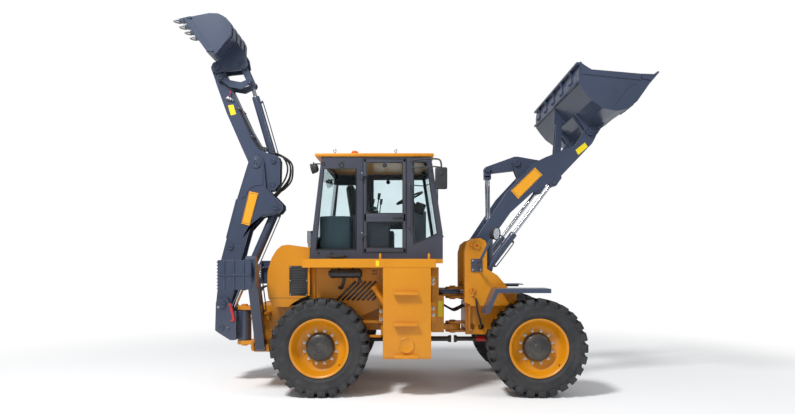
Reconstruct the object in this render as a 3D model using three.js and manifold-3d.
// Articulated backhoe loader, in millimetres. +X is forward (the loader end), +Y left, +Z up.
// The origin lies on the ground under the middle of the machine.
import * as THREE from 'three';
import { mergeVertices } from 'three/addons/utils/BufferGeometryUtils.js';
import Module from 'manifold-3d';

const wasm = await Module();
wasm.setup();

// ---------------------------------------------------------------- driving dimensions
const SEAT_GAP = 0.3;            // between pieces that touch
const RUN_GAP = 5;               // between pieces that move past each other
const BORE_GAP = 0.95;           // on the radius of a bore round its pin
const ROUND = 16;                // facets of a plain round piece

const FRONT_AXLE_X = 1590;
const REAR_AXLE_X = -979;
const WHEEL_RADIUS = 578;        // to the flats of the tread
const TRACK_HALF = 850;          // middle plane of each wheel
const TYRE_WIDTH = 410;
const RIM_RADIUS = 332;
const RIM_WIDTH = 344;           // between the flanges
const WHEEL_FACETS = 24;
const SPIGOT_RADIUS = 60;
const AXLE_RADIUS = 95;
const AXLE_PAD = 730;            // height of the pads that the frames sit on

const PIVOT_X = 658;             // articulation axis
const PIVOT_PIN = 40;

const RAIL_OUTER = 420;          // half width over the chassis rails
const DECK_BOTTOM = 1522;
const DECK_TOP = 1624;
const DECK_HALF = 1030;
const CAB_HALF = 780;
const CAB_WALL = 42;
const CAB_TOP = 2856;
const ROOF_THICK = 45;
const ROOF_HALF = 800;
const DOOR_REAR = -482;
const DOOR_FRONT = 44;
const DOOR_LOW = 1700;
const DOOR_HIGH = 2834;
const DOOR_THICK = 36;
const PANE = 6;

const TANK_INNER = 640;
const TANK_OUTER = 1030;

const ARM_IN = 405;              // inner and outer face of a loader arm
const ARM_OUT = 475;
const ARM_GAP = 17;              // beside an arm, to the tower plates
const TOWER_PLATE = 28;
const TOWER_IN = [ARM_IN - ARM_GAP - TOWER_PLATE, ARM_IN - ARM_GAP];
const TOWER_OUT = [ARM_OUT + ARM_GAP, ARM_OUT + ARM_GAP + TOWER_PLATE];
const EAR_GAP = 8;               // beside an arm, to the bucket's ears
const EAR_PLATE = 27;
const ARM_MIDDLE = (ARM_IN + ARM_OUT) / 2;
const EYE_ROOM = 29;             // each side of a lift cylinder's eye
const BUCKET_HALF = 1150;
const BUCKET_PLATE = 22;

const DIPPER_HALF = 85;
const HOE_GAP = 10;              // beside the dipper, to the boom's side plates
const HOE_WALL = 27;
const HOE_IN = DIPPER_HALF + HOE_GAP;
const HOE_OUT = HOE_IN + HOE_WALL;
const HOE_BUCKET_HALF = 390;

// pins, as [x, z] in the plane of each linkage
const PIN = {
  arm: [921, 1794],
  liftFoot: [868, 1240],
  liftEye: [1888, 2600],
  bucket: [2369, 3246],
  crank: [1502, 2897],
  crankRear: [1120, 2807],
  crankFront: [2036, 2841],
  dumpEye: [2068, 3441],
  tiltFoot: [1140, 1500],
  boomFoot: [-2353, 1038],
  boomRod: [-2368, 734],
  boomBarrel: [-1679, 2310],
  dipper: [-1930, 2886],
  dipperFoot: [-2262, 1790],
  dipperEye: [-1723, 2615],
  hoeBarrel: [-1712, 2924],
  hoeRod: [-2016, 3959],
  guide: [-2396, 4015],
  hoeBucket: [-2456, 4151],
  hoeEar: [-2117, 4184],
};
const SWING_X = -2110;
const STAB_X = -1780;            // middle plane of the stabiliser legs
const STAB_FOOT = [480, 530];    // pins of a stabiliser, as [distance from the middle, z]
const STAB_CYL = [478, 905];
const STAB_EYE = [813, 1523];
const STAB_END = [975, 1600];

// ---------------------------------------------------------------- solids
function solid(geometry) {
  const bare = geometry.index ? geometry.toNonIndexed() : geometry.clone();
  bare.deleteAttribute('normal');
  bare.deleteAttribute('uv');
  const merged = mergeVertices(bare, 1e-4);
  return new wasm.Manifold(new wasm.Mesh({
    numProp: 3,
    vertProperties: new Float32Array(merged.attributes.position.array),
    triVerts: new Uint32Array(merged.index.array),
  }));
}

function join(...solids) {
  return solids.flat(4).reduce((sum, next) => sum.add(next));
}

function cut(body, ...tools) {
  return tools.flat(4).reduce((rest, tool) => rest.subtract(tool), body);
}

function box(x, y, z) {
  const geometry = new THREE.BoxGeometry(x[1] - x[0], y[1] - y[0], z[1] - z[0]);
  geometry.translate((x[0] + x[1]) / 2, (y[0] + y[1]) / 2, (z[0] + z[1]) / 2);
  return solid(geometry);
}

function outline(points) {
  const shape = new THREE.Shape(points.map(([a, b]) => new THREE.Vector2(a, b)));
  if (THREE.ShapeUtils.isClockWise(shape.getPoints())) {
    return new THREE.Shape([...points].reverse().map(([a, b]) => new THREE.Vector2(a, b)));
  }
  return shape;
}

function prism(points, depth) {
  return new THREE.ExtrudeGeometry(outline(points), { depth, bevelEnabled: false, curveSegments: 8 });
}

// a plate whose outline lies in x and z, between two values of y
function plate(points, y) {
  const geometry = prism(points, y[1] - y[0]);
  geometry.rotateX(Math.PI / 2);
  geometry.translate(0, y[1], 0);
  return solid(geometry);
}

// a plate whose outline lies in y and z, between two values of x
function plateAcross(points, x) {
  const geometry = prism(points, x[1] - x[0]);
  geometry.applyMatrix4(new THREE.Matrix4().set(0, 0, 1, x[0], 1, 0, 0, 0, 0, 1, 0, 0, 0, 0, 0, 1));
  return solid(geometry);
}

function turned(profile, from, to, facets = ROUND) {
  const start = new THREE.Vector3(...from);
  const along = new THREE.Vector3(...to).sub(start).normalize();
  const geometry = new THREE.LatheGeometry(profile.map(([r, h]) => new THREE.Vector2(r, h)), facets);
  geometry.applyQuaternion(new THREE.Quaternion().setFromUnitVectors(new THREE.Vector3(0, 1, 0), along));
  geometry.translate(...from);
  const made = solid(geometry);
  return made.volume() < 0 ? solid(flipped(geometry)) : made;
}

function flipped(geometry) {
  const bare = geometry.toNonIndexed();
  const p = bare.attributes.position.array;
  for (let i = 0; i < p.length; i += 9) {
    for (let k = 0; k < 3; k += 1) {
      const held = p[i + 3 + k];
      p[i + 3 + k] = p[i + 6 + k];
      p[i + 6 + k] = held;
    }
  }
  return bare;
}

function bar(from, to, radius, facets = ROUND) {
  const length = new THREE.Vector3(...from).distanceTo(new THREE.Vector3(...to));
  return turned([[0, 0], [radius, 0], [radius, length], [0, length]], from, to, facets);
}

// a round bar along y through the point [x, z]
function pin([x, z], radius, y, facets = ROUND) {
  return bar([x, y[0], z], [x, y[1], z], radius, facets);
}

function mirrored(y) {
  return [-y[1], -y[0]];
}

// the same thing made at y and at -y
function both(make, y) {
  return [make(y), make(mirrored(y))];
}

// a wall of even thickness along a path, to the left of its direction if thick is positive
function wall(path, thick) {
  const inner = path.map((point, i) => {
    const before = path[Math.max(i - 1, 0)];
    const after = path[Math.min(i + 1, path.length - 1)];
    const a = new THREE.Vector2(point[0] - before[0], point[1] - before[1]).normalize();
    const b = new THREE.Vector2(after[0] - point[0], after[1] - point[1]).normalize();
    const dir = (i === 0 ? b : i === path.length - 1 ? a : a.clone().add(b)).normalize();
    const spread = i === 0 || i === path.length - 1 ? 1 : Math.max(dir.dot(a), 0.5);
    return [point[0] - dir.y * thick / spread, point[1] + dir.x * thick / spread];
  });
  return [...path, ...inner.reverse()];
}

// a straight link of a given half width between two pins, with round ends
function link(a, b, ra, rb = ra, steps = 4) {
  const dir = Math.atan2(b[1] - a[1], b[0] - a[0]);
  const points = [];
  for (let i = 0; i <= steps; i += 1) {
    const t = dir + Math.PI / 2 + Math.PI * i / steps;
    points.push([a[0] + ra * Math.cos(t), a[1] + ra * Math.sin(t)]);
  }
  for (let i = 0; i <= steps; i += 1) {
    const t = dir - Math.PI / 2 + Math.PI * i / steps;
    points.push([b[0] + rb * Math.cos(t), b[1] + rb * Math.sin(t)]);
  }
  return points;
}

function along(a, b, distance) {
  const length = Math.hypot(b[0] - a[0], b[1] - a[1]);
  return [a[0] + (b[0] - a[0]) * distance / length, a[1] + (b[1] - a[1]) * distance / length];
}

// ---------------------------------------------------------------- finishes
const YELLOW = { color: 0xe8b80e, roughness: 0.42, metalness: 0.1 };
const GREY = { color: 0x3b4149, roughness: 0.5, metalness: 0.2 };
const RUBBER = { color: 0x17181a, roughness: 0.9, metalness: 0 };
const BLACK = { color: 0x1d1e20, roughness: 0.6, metalness: 0.3 };
const CHROME = { color: 0xd8dadc, roughness: 0.15, metalness: 1 };
const GLASS = { color: 0x7fb2b0, roughness: 0.05, metalness: 0 };
const FABRIC = { color: 0x2a2c30, roughness: 0.95, metalness: 0 };

const group = new THREE.Group();

function add(name, body, finish, position) {
  const mesh = body.asOriginal().simplify(0.001).getMesh();
  const geometry = new THREE.BufferGeometry();
  geometry.setAttribute('position', new THREE.BufferAttribute(new Float32Array(mesh.vertProperties), 3));
  geometry.setIndex(new THREE.BufferAttribute(new Uint32Array(mesh.triVerts), 1));
  geometry.computeVertexNormals();
  const made = new THREE.Mesh(geometry, new THREE.MeshStandardMaterial(finish));
  made.name = name;
  if (position) {
    made.position.set(...position);
  }
  group.add(made);
}

// ---------------------------------------------------------------- wheels and axles
// A wheel is made round the y axis with its outer side towards +y, then placed.
function tyreSolid(side) {
  const bead = RIM_WIDTH / 2 - SEAT_GAP;
  const half = TYRE_WIDTH / 2;
  const flat = 1 / Math.cos(Math.PI / WHEEL_FACETS);
  const bore = RIM_RADIUS + SEAT_GAP * 1.4;
  const profile = [
    [bore, -bead], [RIM_RADIUS + 26, -bead], [430, -half], [530, -half + 6],
    [WHEEL_RADIUS * flat, -half + 60], [WHEEL_RADIUS * flat, half - 60],
    [530, half - 6], [430, half], [RIM_RADIUS + 26, bead], [bore, bead], [bore, -bead],
  ];
  return wheelTurn(profile, side);
}

function rimSolid(side) {
  const inner = RIM_WIDTH / 2;
  const edge = inner + 12;
  const profile = [
    [0, 100], [SPIGOT_RADIUS + BORE_GAP, 100], [SPIGOT_RADIUS + BORE_GAP, -58], [112, -58], [112, 6],
    [RIM_RADIUS - 14, -14], [RIM_RADIUS - 14, -edge], [RIM_RADIUS + 20, -edge], [RIM_RADIUS + 20, -inner],
    [RIM_RADIUS, -inner], [RIM_RADIUS, inner], [RIM_RADIUS + 20, inner], [RIM_RADIUS + 20, edge],
    [RIM_RADIUS - 14, edge], [RIM_RADIUS - 14, 20], [162, 34], [162, 138], [0, 138],
  ];
  return wheelTurn(profile, side);
}

// the lathe is turned by half a facet, so that a flat of the tread lies on the ground
function wheelTurn(profile, side) {
  const points = profile.map(([r, h]) => new THREE.Vector2(r, h * side));
  const geometry = new THREE.LatheGeometry(points, WHEEL_FACETS);
  geometry.rotateY(Math.PI / WHEEL_FACETS);
  const made = solid(geometry);
  return made.volume() < 0 ? solid(flipped(geometry)) : made;
}

function axleSolid() {
  const end = TRACK_HALF + 100 - SEAT_GAP * 2;
  const shoulder = TRACK_HALF - 58 - RUN_GAP;
  const profile = [
    [0, -end], [SPIGOT_RADIUS, -end], [SPIGOT_RADIUS, -shoulder], [150, -shoulder], [AXLE_RADIUS, -shoulder + 90],
    [AXLE_RADIUS, -220], [195, -120], [195, 120], [AXLE_RADIUS, 220],
    [AXLE_RADIUS, shoulder - 90], [150, shoulder], [SPIGOT_RADIUS, shoulder], [SPIGOT_RADIUS, end], [0, end],
  ];
  const geometry = new THREE.LatheGeometry(profile.map(([r, h]) => new THREE.Vector2(r, h)), WHEEL_FACETS);
  const made = solid(geometry);
  const tube = made.volume() < 0 ? solid(flipped(geometry)) : made;
  return join(tube, both((y) => box([-110, 110], y, [0, AXLE_PAD - WHEEL_RADIUS]), [280, 400]));
}

for (const [end, x] of [['front', FRONT_AXLE_X], ['rear', REAR_AXLE_X]]) {
  add(`${end}_axle`, axleSolid(), BLACK, [x, 0, WHEEL_RADIUS]);
  for (const [hand, side] of [['right', -1], ['left', 1]]) {
    add(`${end}_${hand}_tyre`, tyreSolid(side), RUBBER, [x, side * TRACK_HALF, WHEEL_RADIUS]);
    add(`${end}_${hand}_rim`, rimSolid(side), YELLOW, [x, side * TRACK_HALF, WHEEL_RADIUS]);
  }
}

// ---------------------------------------------------------------- rear frame
const RAIL_TOP = 1040;
const SWING_LUG = [[500, 552], [958, 1010]];      // heights of the two swing lugs
const SWING_PIN = 42;
const SWING_LUG_RADIUS = 95;
const BEAM = [-1890, -1660];                      // the cross beam that carries the stabilisers
const BEAM_HALF = 395;
const FRONT_BOX = [361, 516];
const PIVOT_LUGS = [[700, 770], [1150, 1220]];    // rear frame's plates on the articulation axis
const PIVOT_LUG_RADIUS = 105;

function rearFrame() {
  const rail = [[BEAM[1], AXLE_PAD + SEAT_GAP], [-1660, RAIL_TOP], [FRONT_BOX[0], RAIL_TOP],
    [FRONT_BOX[0], AXLE_PAD + SEAT_GAP]];
  const rails = both((y) => plate(rail, y), [RAIL_OUTER - 50, RAIL_OUTER]);
  const beam = box(BEAM, [-BEAM_HALF - 25, BEAM_HALF + 25], [600, 1045]);
  const lowBeam = box(BEAM, [-BEAM_HALF, BEAM_HALF], [450, 640]);
  const frontBox = box(FRONT_BOX, [-450, 450], [703, 1166]);
  const frontTop = box([FRONT_BOX[0], 560], [-120, 120], [1140, 1230]);
  const crossMembers = [[[-1300, -1220], 810], [[-459, -282], 1000], [[60, 140], 1000]].map(([x, top]) => (
    box(x, [-400, 400], [760, top])));
  const swingLugs = SWING_LUG.map((z) => [
    box([SWING_X, BEAM[0] + 10], [-SWING_LUG_RADIUS, SWING_LUG_RADIUS], z),
    bar([SWING_X, 0, z[0]], [SWING_X, 0, z[1]], SWING_LUG_RADIUS),
  ]);
  const swingPin = bar([SWING_X, 0, SWING_LUG[0][0] - 20], [SWING_X, 0, SWING_LUG[1][1] + 20], SWING_PIN);
  const pivotLugs = PIVOT_LUGS.map((z) => [
    box([FRONT_BOX[1] - 10, PIVOT_X], [-PIVOT_LUG_RADIUS, PIVOT_LUG_RADIUS], z),
    bar([PIVOT_X, 0, z[0]], [PIVOT_X, 0, z[1]], PIVOT_LUG_RADIUS),
  ]);
  const pivotBores = bar([PIVOT_X, 0, 600], [PIVOT_X, 0, 1300], PIVOT_PIN + BORE_GAP);
  const shaftHole = box([300, 600], [-70, 70], [500, 690]);
  const posts = both((y) => box([-1125, -1050], y, [1000, DECK_BOTTOM - SEAT_GAP]), [430, 500]);
  const postFeet = both((y) => box([-1125, -1050], y, [960, 1040]), [400, 500]);
  const frontPosts = both((y) => box([FRONT_BOX[0], 450], y, [1150, DECK_BOTTOM - SEAT_GAP]), [340, 450]);
  const tankArms = [[-180, -120], [230, 290]].map((x) => (
    both((y) => box(x, y, [900, 980]), [400, TANK_INNER - SEAT_GAP])
  ));
  const lugs = stabiliserLugs();
  const steerLugs = [-1, 1].map(steeringFoot);
  const body = join(rails, beam, lowBeam, frontBox, frontTop, crossMembers, swingLugs, swingPin, pivotLugs, posts,
    postFeet, frontPosts, tankArms, lugs, steerLugs);
  return cut(body, pivotBores, shaftHole);
}

const STAB_PIN = 28;
const STAB_LUG_X = [[-1890, -1858], [-1702, -1670]];
const LEG_X = [-1838, -1722];

function stabiliserLugs() {
  const made = [];
  for (const side of [-1, 1]) {
    const at = ([y, z]) => [side * y, z];
    for (const x of STAB_LUG_X) {
      made.push(plateAcross(link(at(STAB_FOOT), at([360, 560]), 62, 90), x));
      made.push(plateAcross(link(at(STAB_CYL), at([360, 900]), 52, 80), x));
    }
    for (const pivot of [STAB_FOOT, STAB_CYL]) {
      const [y, z] = at(pivot);
      made.push(bar([STAB_LUG_X[0][0] - 12, y, z], [STAB_LUG_X[1][1] + 12, y, z], STAB_PIN));
    }
  }
  return made;
}

// a steering cylinder lies level on each side of the pivot, above the front box
const STEER_Z = 1205;
const STEER_FOOT = [385, 260];
const STEER_EYE = [900, 210];
const STEER_PIN = 18;

function steeringFoot(side) {
  return bar([STEER_FOOT[0], side * STEER_FOOT[1], 1150], [STEER_FOOT[0], side * STEER_FOOT[1], STEER_Z + 34],
    STEER_PIN);
}

add('rear_frame', rearFrame(), YELLOW);

// ---------------------------------------------------------------- deck, tanks and hood
const HOOD_END = -1135;
const DECK_X = [HOOD_END + RUN_GAP, 388];
const WING_REAR = -1174;         // the deck reaches further back beside the hood

function deck() {
  const slab = box(DECK_X, [-DECK_HALF, DECK_HALF], [DECK_BOTTOM, DECK_BOTTOM + 40]);
  const wings = both((y) => box([WING_REAR, -1100], y, [DECK_BOTTOM, DECK_TOP]), [720, DECK_HALF]);
  const edges = both((y) => box([WING_REAR, DECK_X[1]], y, [DECK_BOTTOM, DECK_TOP]), [DECK_HALF - 40, DECK_HALF]);
  const front = box([348, DECK_X[1]], [-DECK_HALF, DECK_HALF], [DECK_BOTTOM, DECK_TOP]);
  const bearers = both((y) => box(DECK_X, y, [DECK_BOTTOM, DECK_TOP]), [CAB_HALF - 120, CAB_HALF + 10]);
  const sill = box([DECK_X[1] - 5, 482], [-CAB_HALF, CAB_HALF], [DECK_BOTTOM + 50, DECK_TOP]);
  return join(slab, wings, edges, front, bearers, sill);
}

const STEP_X = [-103, 176];
const STEP_LEVELS = [1208, 846, 475];

function tank(side) {
  const y = (a, b) => (side > 0 ? [a, b] : [-b, -a]);
  const face = TANK_OUTER;
  const profile = [[TANK_INNER, 520], [700, 448], [face - 30, 448], [face, 478], [face, DECK_BOTTOM - SEAT_GAP],
    [TANK_INNER, DECK_BOTTOM - SEAT_GAP]].map(([a, z]) => [side * a, z]);
  const body = plateAcross(profile, [-233, 330]);
  const treads = STEP_LEVELS.map((z) => box(STEP_X, y(face - 20, face + 60), [z, z + 26]));
  const cover = bar([41, side * (face - 20), 614], [41, side * (face + 12), 614], 95);
  return join(body, treads, cover);
}

add('deck', deck(), YELLOW);
add('right_tank', tank(-1), YELLOW);
add('left_tank', tank(1), YELLOW);

const HOOD_HALF = 700;
const HOOD_WALL = 14;

function hood() {
  const top = [[-1583, RAIL_TOP + SEAT_GAP], [-1640, 1150], [-1658, 1287], [-1648, 1480], [-1600, 1640], [-1540, 1735],
    [-1478, 1788], [-1400, 1800], [HOOD_END, 1764], [HOOD_END, RAIL_TOP + SEAT_GAP]];
  const inner = [[-1567, 1000], [-1624, 1155], [-1642, 1290], [-1632, 1474], [-1586, 1631], [-1530, 1722],
    [-1470, 1772], [-1398, 1784], [-1000, 1744], [-1000, 1000]];
  const shell = cut(plate(top, [-HOOD_HALF, HOOD_HALF]), plate(inner, [-HOOD_HALF + HOOD_WALL, HOOD_HALF - HOOD_WALL]));
  const louvre = both((y) => box([-1384, -1160], y, [1175, 1542]), [HOOD_HALF - 8, HOOD_HALF + 10]);
  const feet = both((y) => box([-1572, -1512], y, [RAIL_TOP + SEAT_GAP, 1100]), [395, HOOD_HALF - 5]);
  const bulkhead = cut(box([HOOD_END - 14, HOOD_END], [-HOOD_HALF + 5, HOOD_HALF - 5], [RAIL_TOP + SEAT_GAP, 1750]),
    box([HOOD_END - 20, HOOD_END + 5], [-425, 425], [1000, 1560]));
  const arches = both((y) => pin([REAR_AXLE_X, WHEEL_RADIUS], WHEEL_RADIUS + 45, y, 48), [TRACK_HALF - 220, 900]);
  return cut(join(cut(shell, louvre), feet, bulkhead), arches);
}

function engine() {
  const block = box([-1540, -900], [-250, 250], [1100, 1500]);
  const sump = box([-1450, -950], [-180, 180], [820, 1110]);
  const feet = [[-1500, -1440], [-1000, -940]].map((x) => box(x, [-369, 369], [1080, 1120]));
  const mounts = [[-1500, -1440], [-1000, -940]].map((x) => (
    both((y) => box(x, y, [RAIL_TOP + SEAT_GAP, 1090]), [375, 415])));
  const radiator = box([-1600, -1560], [-300, 300], [1130, 1500]);
  const link = box([-1565, -1530], [-60, 60], [1250, 1350]);
  const bridges = both((y) => box([-1500, -940], y, [1085, 1115]), [360, 380]);
  return join(block, sump, feet, mounts, bridges, radiator, link);
}

// ---------------------------------------------------------------- cab
const CAB_SIDE = [[-1129, DECK_TOP + SEAT_GAP], [-982, CAB_TOP], [338, CAB_TOP], [482, 1909],
  [482, DECK_TOP + SEAT_GAP]];
const CAB_ROOM = [[-1084, 1660], [-940, 2950], [284, 2950], [440, 1905], [440, 1660]];
const ROOM_HALF = CAB_HALF - CAB_WALL;

function cabFrame() {
  const shell = cut(plate(CAB_SIDE, [-CAB_HALF, CAB_HALF]), plate(CAB_ROOM, [-ROOM_HALF, ROOM_HALF]));
  const doorway = box([DOOR_REAR, DOOR_FRONT], [-900, 900], [DOOR_LOW, DOOR_HIGH]);
  const rearSide = plate([[-1046, 1736], [-951, 2713], [-564, 2713], [-564, 1742]], [-900, 900]);
  const quarter = plate([[130, 1810], [130, 2790], [285, 2790], [413, 1930], [300, 1880]], [-900, 900]);
  const wind = plate([[380, 1935], [600, 1935], [600, 2790], [240, 2790]], [-690, 690]);
  const back = plate([[-1200, 1900], [-1200, 2790], [-950, 2790], [-950, 1900]], [-680, 680]);
  const pedestal = box([-560, -240], [-190, 190], [1655, 1990]);
  const console = box([150, 300], [-170, 170], [1655, 2250]);
  const column = bar([230, 0, 2200], [90, 0, 2420], 35, 12);
  const sideBoxes = both((y) => box([-640, -180], y, [1655, 2180]), [300, 420]);
  const bars = [-1, 1].map((side) => doorPins(side));
  return join(cut(shell, doorway, rearSide, quarter, wind, back), pedestal, console, column, sideBoxes, bars);
}

// each door turns on two pins that stand on brackets at its rear post
const DOOR_PIN = [-492, CAB_HALF + 26];
const DOOR_PIN_RADIUS = 9;
const HINGE_LEVELS = [1900, 2620];

function doorPins(side) {
  const [x, y] = [DOOR_PIN[0], side * DOOR_PIN[1]];
  return HINGE_LEVELS.map((z) => {
    const bracket = side > 0 ? [CAB_HALF - 10, DOOR_PIN[1] + 12] : [-DOOR_PIN[1] - 12, -CAB_HALF + 10];
    return [
      box([x - 13, x + 13], bracket, [z - 30, z - 4]),
      bar([x, y, z - 10], [x, y, z + 40], DOOR_PIN_RADIUS, 12),
    ];
  });
}

function door(side) {
  const outer = side * CAB_HALF;
  const y = (a, b) => (side > 0 ? [outer + a, outer + b] : [outer - b, outer - a]);
  const panel = box([DOOR_REAR + RUN_GAP, DOOR_FRONT - RUN_GAP], y(-DOOR_THICK, 0),
    [DOOR_LOW + RUN_GAP, DOOR_HIGH - RUN_GAP]);
  const hollow = (z) => [
    box([DOOR_REAR + 40, DOOR_FRONT - 40], y(-DOOR_THICK - 5, -DOOR_THICK / 2 - PANE / 2), z),
    box([DOOR_REAR + 40, DOOR_FRONT - 40], y(-DOOR_THICK / 2 + PANE / 2, 5), z),
  ];
  const ears = HINGE_LEVELS.map((z) => [
    box([DOOR_PIN[0], DOOR_REAR + 60], y(3, 40), [z, z + 30]),
    bar([DOOR_PIN[0], side * DOOR_PIN[1], z], [DOOR_PIN[0], side * DOOR_PIN[1], z + 30], 15, 16),
  ]);
  const earSeats = HINGE_LEVELS.map((z) => box([DOOR_REAR + 20, DOOR_REAR + 60], y(-10, 5), [z, z + 30]));
  const bores = HINGE_LEVELS.map((z) => (
    bar([DOOR_PIN[0], side * DOOR_PIN[1], z - 5], [DOOR_PIN[0], side * DOOR_PIN[1], z + 60],
      DOOR_PIN_RADIUS + BORE_GAP, 12)));
  const handle = box([DOOR_FRONT - 60, DOOR_FRONT - 35], y(-5, 22), [2080, 2165]);
  return cut(join(cut(panel, hollow([2172, 2792]), hollow([1750, 2075])), ears, earSeats, handle), bores);
}

function glass(x) {
  const inset = (d) => CAB_ROOM.map(([px, pz]) => [px + (px < 0 ? d : -d) * 1.02, pz]);
  const shell = cut(plate(inset(0.6), [-ROOM_HALF + 0.6, ROOM_HALF - 0.6]),
    plate(inset(0.6 + PANE), [-ROOM_HALF + 0.6 + PANE, ROOM_HALF - 0.6 - PANE]));
  const low = x[0] > 0 ? 1780 : 1720;
  return shell.intersect(box(x, [-900, 900], [low, 2830]));
}

function roof() {
  const top = CAB_TOP + SEAT_GAP;
  const profile = [[-1065, top], [-1065, top + 34], [-1045, top + ROOF_THICK + 6], [350, top + ROOF_THICK + 6],
    [376, top + 34], [376, top]];
  return plate(profile, [-ROOF_HALF, ROOF_HALF]);
}

function seat() {
  const cushion = box([-620, -170], [-240, 240], [1990.3, 2120]);
  const back = plate([[-640, 2060], [-560, 2050], [-650, 2620], [-740, 2610]], [-230, 230]);
  return join(cushion, back);
}

add('cab_frame', cabFrame(), GREY);
add('cab_roof', roof(), YELLOW);
add('right_door', door(-1), GREY);
add('left_door', door(1), GREY);
add('front_glass', glass([118, 600]), GLASS);
add('rear_glass', glass([-1300, -540]), GLASS);
add('seat', seat(), FABRIC);
add('engine_hood', hood(), YELLOW);
add('engine', engine(), BLACK);

// ---------------------------------------------------------------- front frame, fenders and loader
const FRAME_HALF = 320;
const FENDER_LOW = 1262;
const STEER_LUG_Z = [[STEER_Z - 56, STEER_Z - 38], [STEER_Z + 38, STEER_Z + 56]];
const CLEVIS = [[665, 695], [775, 805], [1110, 1145], [1225, 1260]];
const TOWER_REAR = 770;

function frontFrame() {
  const body = cut(
    box([800, 1500], [-FRAME_HALF, FRAME_HALF], [AXLE_PAD + SEAT_GAP, 1060]),
    box([840, 1470], [-FRAME_HALF + 40, FRAME_HALF - 40], [700, 1030]),
  );
  const nose = box([1470, 1700], [-FRAME_HALF, FRAME_HALF], [AXLE_PAD + SEAT_GAP, 1060]);
  const skirt = both((y) => plate([[800, 662], [1060, 662], [1090, 760], [1090, 900], [800, 900]], y),
    [FRAME_HALF - 40, FRAME_HALF]);
  const holes = [[880, 760], [1000, 760]].map((c) => pin(c, 42, [-400, 400]));
  const clevis = CLEVIS.map((z) => [
    box([PIVOT_X, 860], [-95, 95], z),
    bar([PIVOT_X, 0, z[0]], [PIVOT_X, 0, z[1]], 95),
  ]);
  const pivotPin = [[CLEVIS[0][0] - 15, CLEVIS[1][1] + 15], [CLEVIS[2][0] - 15, CLEVIS[3][1] + 15]].map((z) => (
    bar([PIVOT_X, 0, z[0]], [PIVOT_X, 0, z[1]], PIVOT_PIN)));
  const backWall = box([830, 860], [-TOWER_IN[0] - 5, TOWER_IN[0] + 5], [700, 1330]);
  const towerShape = [[TOWER_REAR, 1079], [TOWER_REAR, 1720], [800, 1830], [860, 1880], [970, 1887], [1030, 1850],
    [1050, 1790], [1050, 1500], [1178, 1424], [1419, 1138], [1419, 1061], [TOWER_REAR + 70, 1061]];
  const towers = [TOWER_IN, TOWER_OUT].map((y) => both((side) => plate(towerShape, side), y));
  const floorSlots = both((y) => box([1080, 1500], y, [1000, 1100]), [TOWER_IN[1] + 1, TOWER_OUT[0] - 1]);
  const floor = cut(box([TOWER_REAR + 70, 1419], [-TOWER_OUT[1], TOWER_OUT[1]], [1040, 1085]), floorSlots);
  const crossFront = box([1000, 1040], [-TOWER_IN[1], TOWER_IN[1]], [1085, 1300]);
  const pins = both((y) => [pin(PIN.arm, 40, y), pin(PIN.liftFoot, 32, y)], [TOWER_IN[0] - 12, TOWER_OUT[1] + 12]);
  const bracket = both((y) => box([1240, 1400], y, [1200, FENDER_LOW - SEAT_GAP]), [TOWER_OUT[0] + 5, 800]);
  const rib = both((y) => plate([[1200, 1100], [1300, FENDER_LOW - SEAT_GAP], [1419, FENDER_LOW - SEAT_GAP],
    [1419, 1062]], y), TOWER_OUT);
  const steerLugs = [-1, 1].map((side) => {
    const y = side > 0 ? [165, 255] : [-255, -165];
    return [STEER_LUG_Z.map((z) => box([850, 1010], y, z)), box([975, 1010], y, [1050, STEER_Z + 56])];
  });
  const diffRoom = pin([FRONT_AXLE_X, WHEEL_RADIUS], 215, [-260, 260]);
  const steerWindow = both((y) => box([825, 870], y, [STEER_Z - 75, STEER_Z + 75]), [105, 358]);
  return cut(join(cut(body, holes), nose, cut(skirt[0].add(skirt[1]), holes), clevis, pivotPin,
    cut(backWall, steerWindow), towers, floor, crossFront, pins, bracket, rib, steerLugs), diffRoom);
}

function fender(side) {
  const y = side > 0 ? [660, 1030] : [-1030, -660];
  const top = [[1730, FENDER_LOW], [1216, FENDER_LOW], [1090, FENDER_LOW], [967, 975]];
  const sheet = plate(wall(top, -12), y);
  const rim = side > 0 ? [1018, 1030] : [-1030, -1018];
  const flange = plate([[1730, FENDER_LOW + 5], [1216, FENDER_LOW + 5], [1090, FENDER_LOW + 5], [967, 990],
    [1008, 980], [1112, 1224], [1730, 1224]], rim);
  return join(sheet, flange);
}

const ARM_SHAPE = [[935, 1700], [880, 1715], [845, 1760], [842, 1820], [875, 1872], [934, 1908], [1297, 2456],
  [1649, 2835], [1790, 2905], [2002, 2986], [2162, 3056], [2267, 3215], [2300, 3290], [2369, 3318], [2430, 3292],
  [2446, 3220], [2400, 3120], [2373, 3074], [1968, 2650], [1632, 2465], [1350, 2208], [1225, 2032], [985, 1740]];

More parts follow.
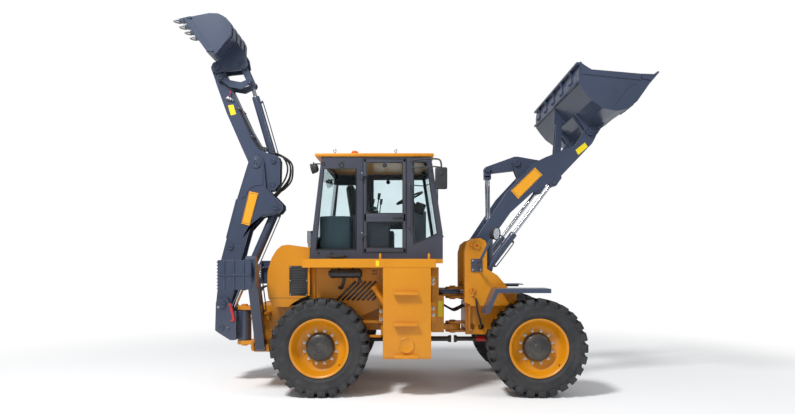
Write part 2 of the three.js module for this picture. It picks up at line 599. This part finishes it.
function loaderArms() {
  const arms = both((y) => plate(ARM_SHAPE, y), [ARM_IN, ARM_OUT]);
  const tube = bar([1640, -ARM_IN - 10, 2690], [1640, ARM_IN + 10, 2690], 78);
  const brackets = both((y) => plate(link([1640, 2690], PIN.crank, 110, 62), y), [34, 62]);
  const crankPin = pin(PIN.crank, 38, [-76, 76]);
  const armBores = both((y) => pin(PIN.arm, 40 + BORE_GAP, y), [ARM_IN - 20, ARM_OUT + 20]);
  const bucketBores = both((y) => pin(PIN.bucket, 35 + BORE_GAP, y), [ARM_IN - 20, ARM_OUT + 20]);
  const eyeRoom = plate(link(PIN.liftEye, [PIN.liftEye[0] + 300, PIN.liftEye[1] - 300], 84, 200),
    [-ARM_MIDDLE - EYE_ROOM, -ARM_MIDDLE + EYE_ROOM]);
  const eyeRooms = [eyeRoom, eyeRoom.mirror([0, 1, 0])];
  const lugs = both((y) => plate(link([1900, 2660], PIN.liftEye, 95, 66), y),
    [ARM_IN, ARM_MIDDLE - EYE_ROOM]);
  const lugsOut = both((y) => plate(link([1900, 2660], PIN.liftEye, 95, 66), y),
    [ARM_MIDDLE + EYE_ROOM, ARM_OUT]);
  return cut(join(cut(join(arms, tube, brackets, crankPin), eyeRooms), lugs, lugsOut), armBores, bucketBores);
}

const BUCKET_PATH = [[2939, 3761], [2834, 3640], [2685, 3428], [2580, 3343], [2453, 3317], [2293, 3348],
  [2166, 3438], [2082, 3539], [2019, 3628], [2014, 3760], [2029, 3882]];
const BUCKET_MOUTH = [[2156, 3793], [2664, 3750], [2866, 3735]];

function loaderBucket() {
  const skin = plate(wall(BUCKET_PATH, -BUCKET_PLATE), [-BUCKET_HALF, BUCKET_HALF]);
  const cheek = [...BUCKET_PATH, ...BUCKET_MOUTH];
  const cheeks = both((y) => plate(cheek, y), [BUCKET_HALF - BUCKET_PLATE, BUCKET_HALF]);
  const lip = plate([[2939, 3761], [2926, 3772], [2800, 3630], [2818, 3620]], [-BUCKET_HALF, BUCKET_HALF]);
  const ear = [[2290, 3235], [2310, 3190], [2369, 3170], [2430, 3190], [2520, 3330], [2453, 3325], [2296, 3356],
    [2180, 3444], [2150, 3440]];
  const ears = [[ARM_IN - EAR_GAP - EAR_PLATE, ARM_IN - EAR_GAP],
    [ARM_OUT + EAR_GAP, ARM_OUT + EAR_GAP + EAR_PLATE]].map((y) => both((side) => plate(ear, side), y));
  const pins = both((y) => pin(PIN.bucket, 35, y), [ARM_IN - 47, ARM_OUT + 47]);
  const lug = plate([[2006, 3440], [2030, 3392], [2080, 3380], [2175, 3436], [2090, 3545], [2030, 3630],
    [2012, 3620]], [-24, 24]);
  return join(skin, cheeks, lip, ears, pins, lug);
}

// the bell crank and the dump link lie in the middle plane of the arms
const CRANK_HALF = 27;

function bellCrank() {
  const rear = plate(link(PIN.crank, PIN.crankRear, 95, 50), [-CRANK_HALF, CRANK_HALF]);
  const front = plate(link(PIN.crank, PIN.crankFront, 95, 58), [-CRANK_HALF, CRANK_HALF]);
  const bores = [PIN.crank, PIN.crankRear, PIN.crankFront].map((c, i) => (
    pin(c, (i === 0 ? 38 : 30) + BORE_GAP, [-60, 60])));
  return cut(join(rear, front), bores);
}

function dumpLink() {
  const plates = [CRANK_HALF + RUN_GAP, CRANK_HALF + RUN_GAP + 22];
  const sides = both((y) => plate(link(PIN.crankFront, PIN.dumpEye, 50, 36), y), plates);
  const middle = along(PIN.crankFront, PIN.dumpEye, 240);
  const block = plate(link(middle, along(PIN.crankFront, PIN.dumpEye, 330), 30), [-plates[1], plates[1]]);
  return join(sides, block, pin(PIN.crankFront, 30, [-plates[1] - 10, plates[1] + 10]));
}

// ---------------------------------------------------------------- cylinders
// A barrel is a blind tube from its foot eye towards the rod's eye. A rod slides in it and ends in an eye.
function barrel(foot, eye, size, pinAxis) {
  const { length, outer, rod, eyeRadius, eyeHalf, footPin } = size;
  const start = eyeRadius * 0.6;
  const tube = turned([[0, start], [outer, start], [outer, length], [rod + BORE_GAP, length],
    [rod + BORE_GAP, eyeRadius + 30], [0, eyeRadius + 30]], foot, eye);
  const axis = new THREE.Vector3(...pinAxis);
  const centre = new THREE.Vector3(...foot);
  const side = (d) => centre.clone().addScaledVector(axis, d).toArray();
  return cut(join(tube, bar(side(-eyeHalf), side(eyeHalf), eyeRadius)), bar(side(-200), side(200), footPin + BORE_GAP));
}

function rodPiece(foot, eye, size, pinAxis) {
  const { rod, rodLength, eyeRadius, eyeHalf } = size;
  const back = new THREE.Vector3(...foot).sub(new THREE.Vector3(...eye)).normalize();
  const end = new THREE.Vector3(...eye).addScaledVector(back, rodLength).toArray();
  const axis = new THREE.Vector3(...pinAxis);
  const centre = new THREE.Vector3(...eye);
  const side = (d) => centre.clone().addScaledVector(axis, d).toArray();
  const stem = turned([[0, eyeRadius * 0.6], [rod, eyeRadius * 0.6], [rod, rodLength], [0, rodLength]], eye, end);
  return cut(join(stem, bar(side(-eyeHalf), side(eyeHalf), eyeRadius)), bar(side(-200), side(200), eyeRadius * 0.55));
}

function cylinder(name, foot, eye, size, pinAxis) {
  add(`${name}_barrel`, barrel(foot, eye, size, pinAxis), GREY);
  add(`${name}_rod`, rodPiece(foot, eye, size, pinAxis), CHROME);
}

const LIFT_SIZE = { length: 885, outer: 46, rod: 24, rodLength: 900, eyeRadius: 50, eyeHalf: 22, footPin: 32 };
const TILT_SIZE = { length: 665, outer: 62, rod: 32, rodLength: 700, eyeRadius: 54, eyeHalf: 28, footPin: 34 };
const HOE_BOOM_SIZE = { length: 1180, outer: 58, rod: 32, rodLength: 1100, eyeRadius: 52, eyeHalf: 38, footPin: 32 };
const DIPPER_SIZE = { length: 830, outer: 52, rod: 30, rodLength: 850, eyeRadius: 46, eyeHalf: 36, footPin: 32 };
const HOE_BUCKET_SIZE = { length: 900, outer: 50, rod: 26, rodLength: 960, eyeRadius: 42, eyeHalf: 34, footPin: 28 };
const STAB_SIZE = { length: 620, outer: 48, rod: 26, rodLength: 630, eyeRadius: 42, eyeHalf: 30, footPin: STAB_PIN };
const STEER_SIZE = { length: 355, outer: 34, rod: 18, rodLength: 335, eyeRadius: 30, eyeHalf: 22,
  footPin: STEER_PIN };
const inPlane = ([x, z], y) => [x, y, z];
const ALONG_Y = [0, 1, 0];

add('front_frame', frontFrame(), YELLOW);
add('right_fender', fender(-1), GREY);
add('left_fender', fender(1), GREY);
add('loader_arms', loaderArms(), GREY);
add('loader_bucket', loaderBucket(), GREY);
add('bell_crank', bellCrank(), GREY);
add('dump_link', dumpLink(), GREY);
for (const [hand, side] of [['right', -1], ['left', 1]]) {
  const y = side * ARM_MIDDLE;
  cylinder(`${hand}_lift`, inPlane(PIN.liftFoot, y), inPlane(PIN.liftEye, y), LIFT_SIZE, ALONG_Y);
  cylinder(`${hand}_steering`, [STEER_FOOT[0], side * STEER_FOOT[1], STEER_Z],
    [STEER_EYE[0], side * STEER_EYE[1], STEER_Z], STEER_SIZE, [0, 0, 1]);
}

function tiltRod() {
  const plates = [CRANK_HALF + RUN_GAP, CRANK_HALF + RUN_GAP + 22];
  const top = PIN.crankRear;
  const foot = PIN.tiltFoot;
  const stem = bar(inPlane(along(top, foot, 100), 0), inPlane(along(top, foot, TILT_SIZE.rodLength), 0), TILT_SIZE.rod);
  const sides = both((y) => plate(link(top, along(top, foot, 72), 48), y), plates);
  const block = plate(link(along(top, foot, 90), along(top, foot, 95), 28), [-plates[1], plates[1]]);
  return join(stem, sides, block, pin(top, 30, [-plates[1] - 10, plates[1] + 10]));
}

add('tilt_barrel', barrel(inPlane(PIN.tiltFoot, 0), inPlane(PIN.crankRear, 0), TILT_SIZE, ALONG_Y), GREY);
add('tilt_rod', tiltRod(), CHROME);

// ---------------------------------------------------------------- backhoe
const POST_PLATES = [HOE_OUT + 28, HOE_OUT + 60];

function swingPost() {
  const bore = bar([SWING_X, 0, 400], [SWING_X, 0, 1100], SWING_PIN + BORE_GAP);
  const barrelPart = bar([SWING_X, 0, SWING_LUG[0][1] + RUN_GAP], [SWING_X, 0, SWING_LUG[1][0] - RUN_GAP], 88);
  const shape = [[-2422, 1108], [-2440, 1060], [-2450, 697], [-2400, 660], [-2255, 570], [-2190, 570], [-2176, 736],
    [-2176, 940], [-2222, 948], [-2250, 1040], [-2300, 1118]];
  const sides = both((y) => plate(shape, y), POST_PLATES);
  const web = box([-2225, -2176], [-POST_PLATES[1], POST_PLATES[1]], [575, 940]);
  const neck = box([-2200, -2120], [-80, 80], [575, 940]);
  const pins = both((y) => pin(PIN.boomFoot, 40, y), [56, POST_PLATES[1] + 14]);
  return cut(join(barrelPart, sides, web, neck, pins), bore);
}

const BOOM_SHAPE = [[-2440, 1015], [-2452, 1080], [-2440, 1200], [-2395, 1600], [-2330, 1850], [-2180, 2420],
  [-2045, 2860], [-2022, 2930], [-1975, 2978], [-1915, 2992], [-1862, 2965], [-1832, 2915], [-1826, 2850],
  [-1800, 2560], [-1640, 2405], [-1585, 2345], [-1580, 2290], [-1620, 2235], [-1700, 2205], [-1880, 2180],
  [-2010, 2050], [-2080, 1800], [-2180, 1400], [-2258, 1060], [-2280, 975], [-2330, 945], [-2395, 955]];

function boom() {
  const sides = both((y) => plate(BOOM_SHAPE, y), [HOE_IN, HOE_OUT]);
  const bosses = both((y) => pin(PIN.boomFoot, 88, y), [58, HOE_OUT + 20]);
  const bores = pin(PIN.boomFoot, 40 + BORE_GAP, [-POST_PLATES[0], POST_PLATES[0]]);
  const outerWeb = plate([[-2334, 1905], [-2298, 1905], [-2165, 2395], [-2200, 2420]], [-HOE_IN - 5, HOE_IN + 5]);
  const footPin = pin(PIN.dipperFoot, 32, [-HOE_OUT - 10, HOE_OUT + 10]);
  const kneePin = pin(PIN.boomBarrel, 32, [-HOE_OUT - 10, HOE_OUT + 10]);
  const topPin = pin(PIN.dipper, 38, [-HOE_OUT - 12, HOE_OUT + 12]);
  return join(cut(join(sides, bosses), bores), outerWeb, footPin, kneePin, topPin);
}

const DIPPER_SHAPE = [[-1990, 2800], [-1935, 2770], [-1850, 2560], [-1790, 2520], [-1690, 2540], [-1632, 2620],
  [-1625, 2930], [-1650, 2985], [-1720, 3010], [-1830, 3040], [-2050, 3420], [-2300, 3960], [-2385, 4190],
  [-2420, 4228], [-2480, 4232], [-2525, 4200], [-2535, 4140], [-2500, 4040], [-2330, 3560], [-2120, 3080],
  [-2025, 2870]];

function dipper() {
  const body = plate(DIPPER_SHAPE, [-DIPPER_HALF, DIPPER_HALF]);
  const channel = 56;
  const eyeSlot = plate([[-1590, 2450], [-1590, 3090], [-1862, 3095], [-1812, 2715], [-2100, 2880], [-2100, 2450]],
    [-channel, channel]);
  const pivotBore = pin(PIN.dipper, 38 + BORE_GAP, [-200, 200]);
  const bores = [pin(PIN.guide, 30 + BORE_GAP, [-200, 200]), pin(PIN.hoeBucket, 34 + BORE_GAP, [-200, 200])];
  const narrow = both((y) => plate([[-2700, 4060], [-2300, 3900], [-2200, 4300], [-2700, 4300]], y),
    [70, 120]);
  const barrelPin = pin(PIN.hoeBarrel, 28, [-DIPPER_HALF - 8, DIPPER_HALF + 8]);
  return join(cut(body, eyeSlot, pivotBore, bores, narrow), barrelPin);
}

const HOE_PATH = [[-2802, 4684], [-2464, 4749], [-2350, 4747], [-2275, 4710], [-2205, 4630], [-2180, 4578],
  [-2185, 4473], [-2370, 4240]];
const HOE_PLATE = 18;

function hoeBucket() {
  const skin = plate(wall(HOE_PATH, -HOE_PLATE), [-HOE_BUCKET_HALF, HOE_BUCKET_HALF]);
  const cheeks = both((y) => plate([...HOE_PATH, [-2490, 4262]], y), [HOE_BUCKET_HALF - HOE_PLATE, HOE_BUCKET_HALF]);
  const ear = [[-2530, 4151], [-2512, 4100], [-2456, 4078], [-2300, 4100], [-2130, 4118], [-2075, 4135],
    [-2050, 4184], [-2070, 4300], [-2180, 4480], [-2372, 4252], [-2420, 4240], [-2500, 4215]];
  const ears = both((y) => plate(ear, y), [78, 102]);
  const topPlate = plate([[-2500, 4262], [-2372, 4238], [-2360, 4258], [-2490, 4282]],
    [-HOE_BUCKET_HALF, HOE_BUCKET_HALF]);
  const hookPin = pin(PIN.hoeBucket, 34, [-116, 116]);
  const teeth = [-300, -100, 100, 300].map((y) => (
    plate([[-2938, 4674], [-2802, 4700], [-2700, 4716], [-2700, 4680], [-2802, 4660]], [y - 32, y + 32])));
  return join(skin, cheeks, ears, topPlate, hookPin, teeth);
}

function guideLinks() {
  const bow = [PIN.guide, PIN.hoeRod];
  const plates = [108, 128];
  const ends = (y) => [pin(PIN.guide, 52, y), pin(PIN.hoeRod, 50, y)];
  const shape = [[bow[0][0], bow[0][1] - 38], [-2275, 3885], [-2130, 3862], [bow[1][0], bow[1][1] - 38],
    [bow[1][0], bow[1][1] + 38], [-2130, 3950], [-2265, 3975], [bow[0][0], bow[0][1] + 38]];
  return join(
    both((y) => [plate(shape, y), ends(y)], plates),
    pin(PIN.guide, 30, [-138, 138]),
    both((y) => pin(PIN.hoeRod, 24, y), [50, 138]),
  );
}

function bucketLink() {
  const arms = both((y) => cut(
    plate(link(PIN.hoeRod, PIN.hoeEar, 42), y),
    pin(PIN.hoeRod, 24 + BORE_GAP, [y[0] - 5, y[1] + 5]),
  ), [50, 72]);
  const web = plate(link(along(PIN.hoeRod, PIN.hoeEar, 155), along(PIN.hoeRod, PIN.hoeEar, 185), 26), [-60, 60]);
  return join(arms, web);
}

add('swing_post', swingPost(), GREY);
add('boom', boom(), GREY);
add('dipper', dipper(), GREY);
add('hoe_bucket', hoeBucket(), GREY);
add('guide_links', guideLinks(), GREY);
add('bucket_link', bucketLink(), GREY);
cylinder('boom', inPlane(PIN.boomBarrel, 0), inPlane(PIN.boomRod, 0), HOE_BOOM_SIZE, ALONG_Y);
cylinder('dipper', inPlane(PIN.dipperFoot, 0), inPlane(PIN.dipperEye, 0), DIPPER_SIZE, ALONG_Y);
cylinder('hoe_bucket', inPlane(PIN.hoeBarrel, 0), inPlane(PIN.hoeRod, 0), HOE_BUCKET_SIZE, ALONG_Y);

// ---------------------------------------------------------------- stabilisers
const PAD_X = [-2148, -1765];

function stabiliserLeg(side) {
  const at = ([y, z]) => [side * y, z];
  const body = plateAcross(link(at(STAB_FOOT), at(STAB_END), 58, 62), LEG_X);
  const slot = plateAcross([[side * 640, 1300], [side * 700, 1700], [side * 960, 1560], [side * 905, 1330]], [-1815, -1745]);
  const lug = [LEG_X[0], LEG_X[1] - 20].map((x) => (
    plateAcross(link(at(STAB_EYE), at([900, 1440]), 46, 62), [x, x + 20])));
  const bore = bar([-1900, side * STAB_FOOT[0], STAB_FOOT[1]], [-1600, side * STAB_FOOT[0], STAB_FOOT[1]],
    STAB_PIN + BORE_GAP);
  const footY = side > 0 ? [1040, 1060] : [-1060, -1040];
  const ribY = side > 0 ? [985, 1045] : [-1045, -985];
  const pad = box(PAD_X, footY, [1265, 1610]);
  const ribs = [PAD_X[0] + 20, -1850, -1722, PAD_X[1] - 34].map((x) => box([x, x + 14], ribY, [1290, 1600]));
  const spine = box([PAD_X[0] + 20, PAD_X[1] - 20], ribY, [1500, 1520]);
  return cut(join(cut(body, slot), lug, pad, ribs, spine), bore);
}

for (const [hand, side] of [['right', -1], ['left', 1]]) {
  const at = ([y, z]) => [STAB_X, side * y, z];
  add(`${hand}_stabiliser`, stabiliserLeg(side), GREY);
  cylinder(`${hand}_stabiliser_cylinder`, at(STAB_CYL), at(STAB_EYE), STAB_SIZE, [1, 0, 0]);
}
export default group;
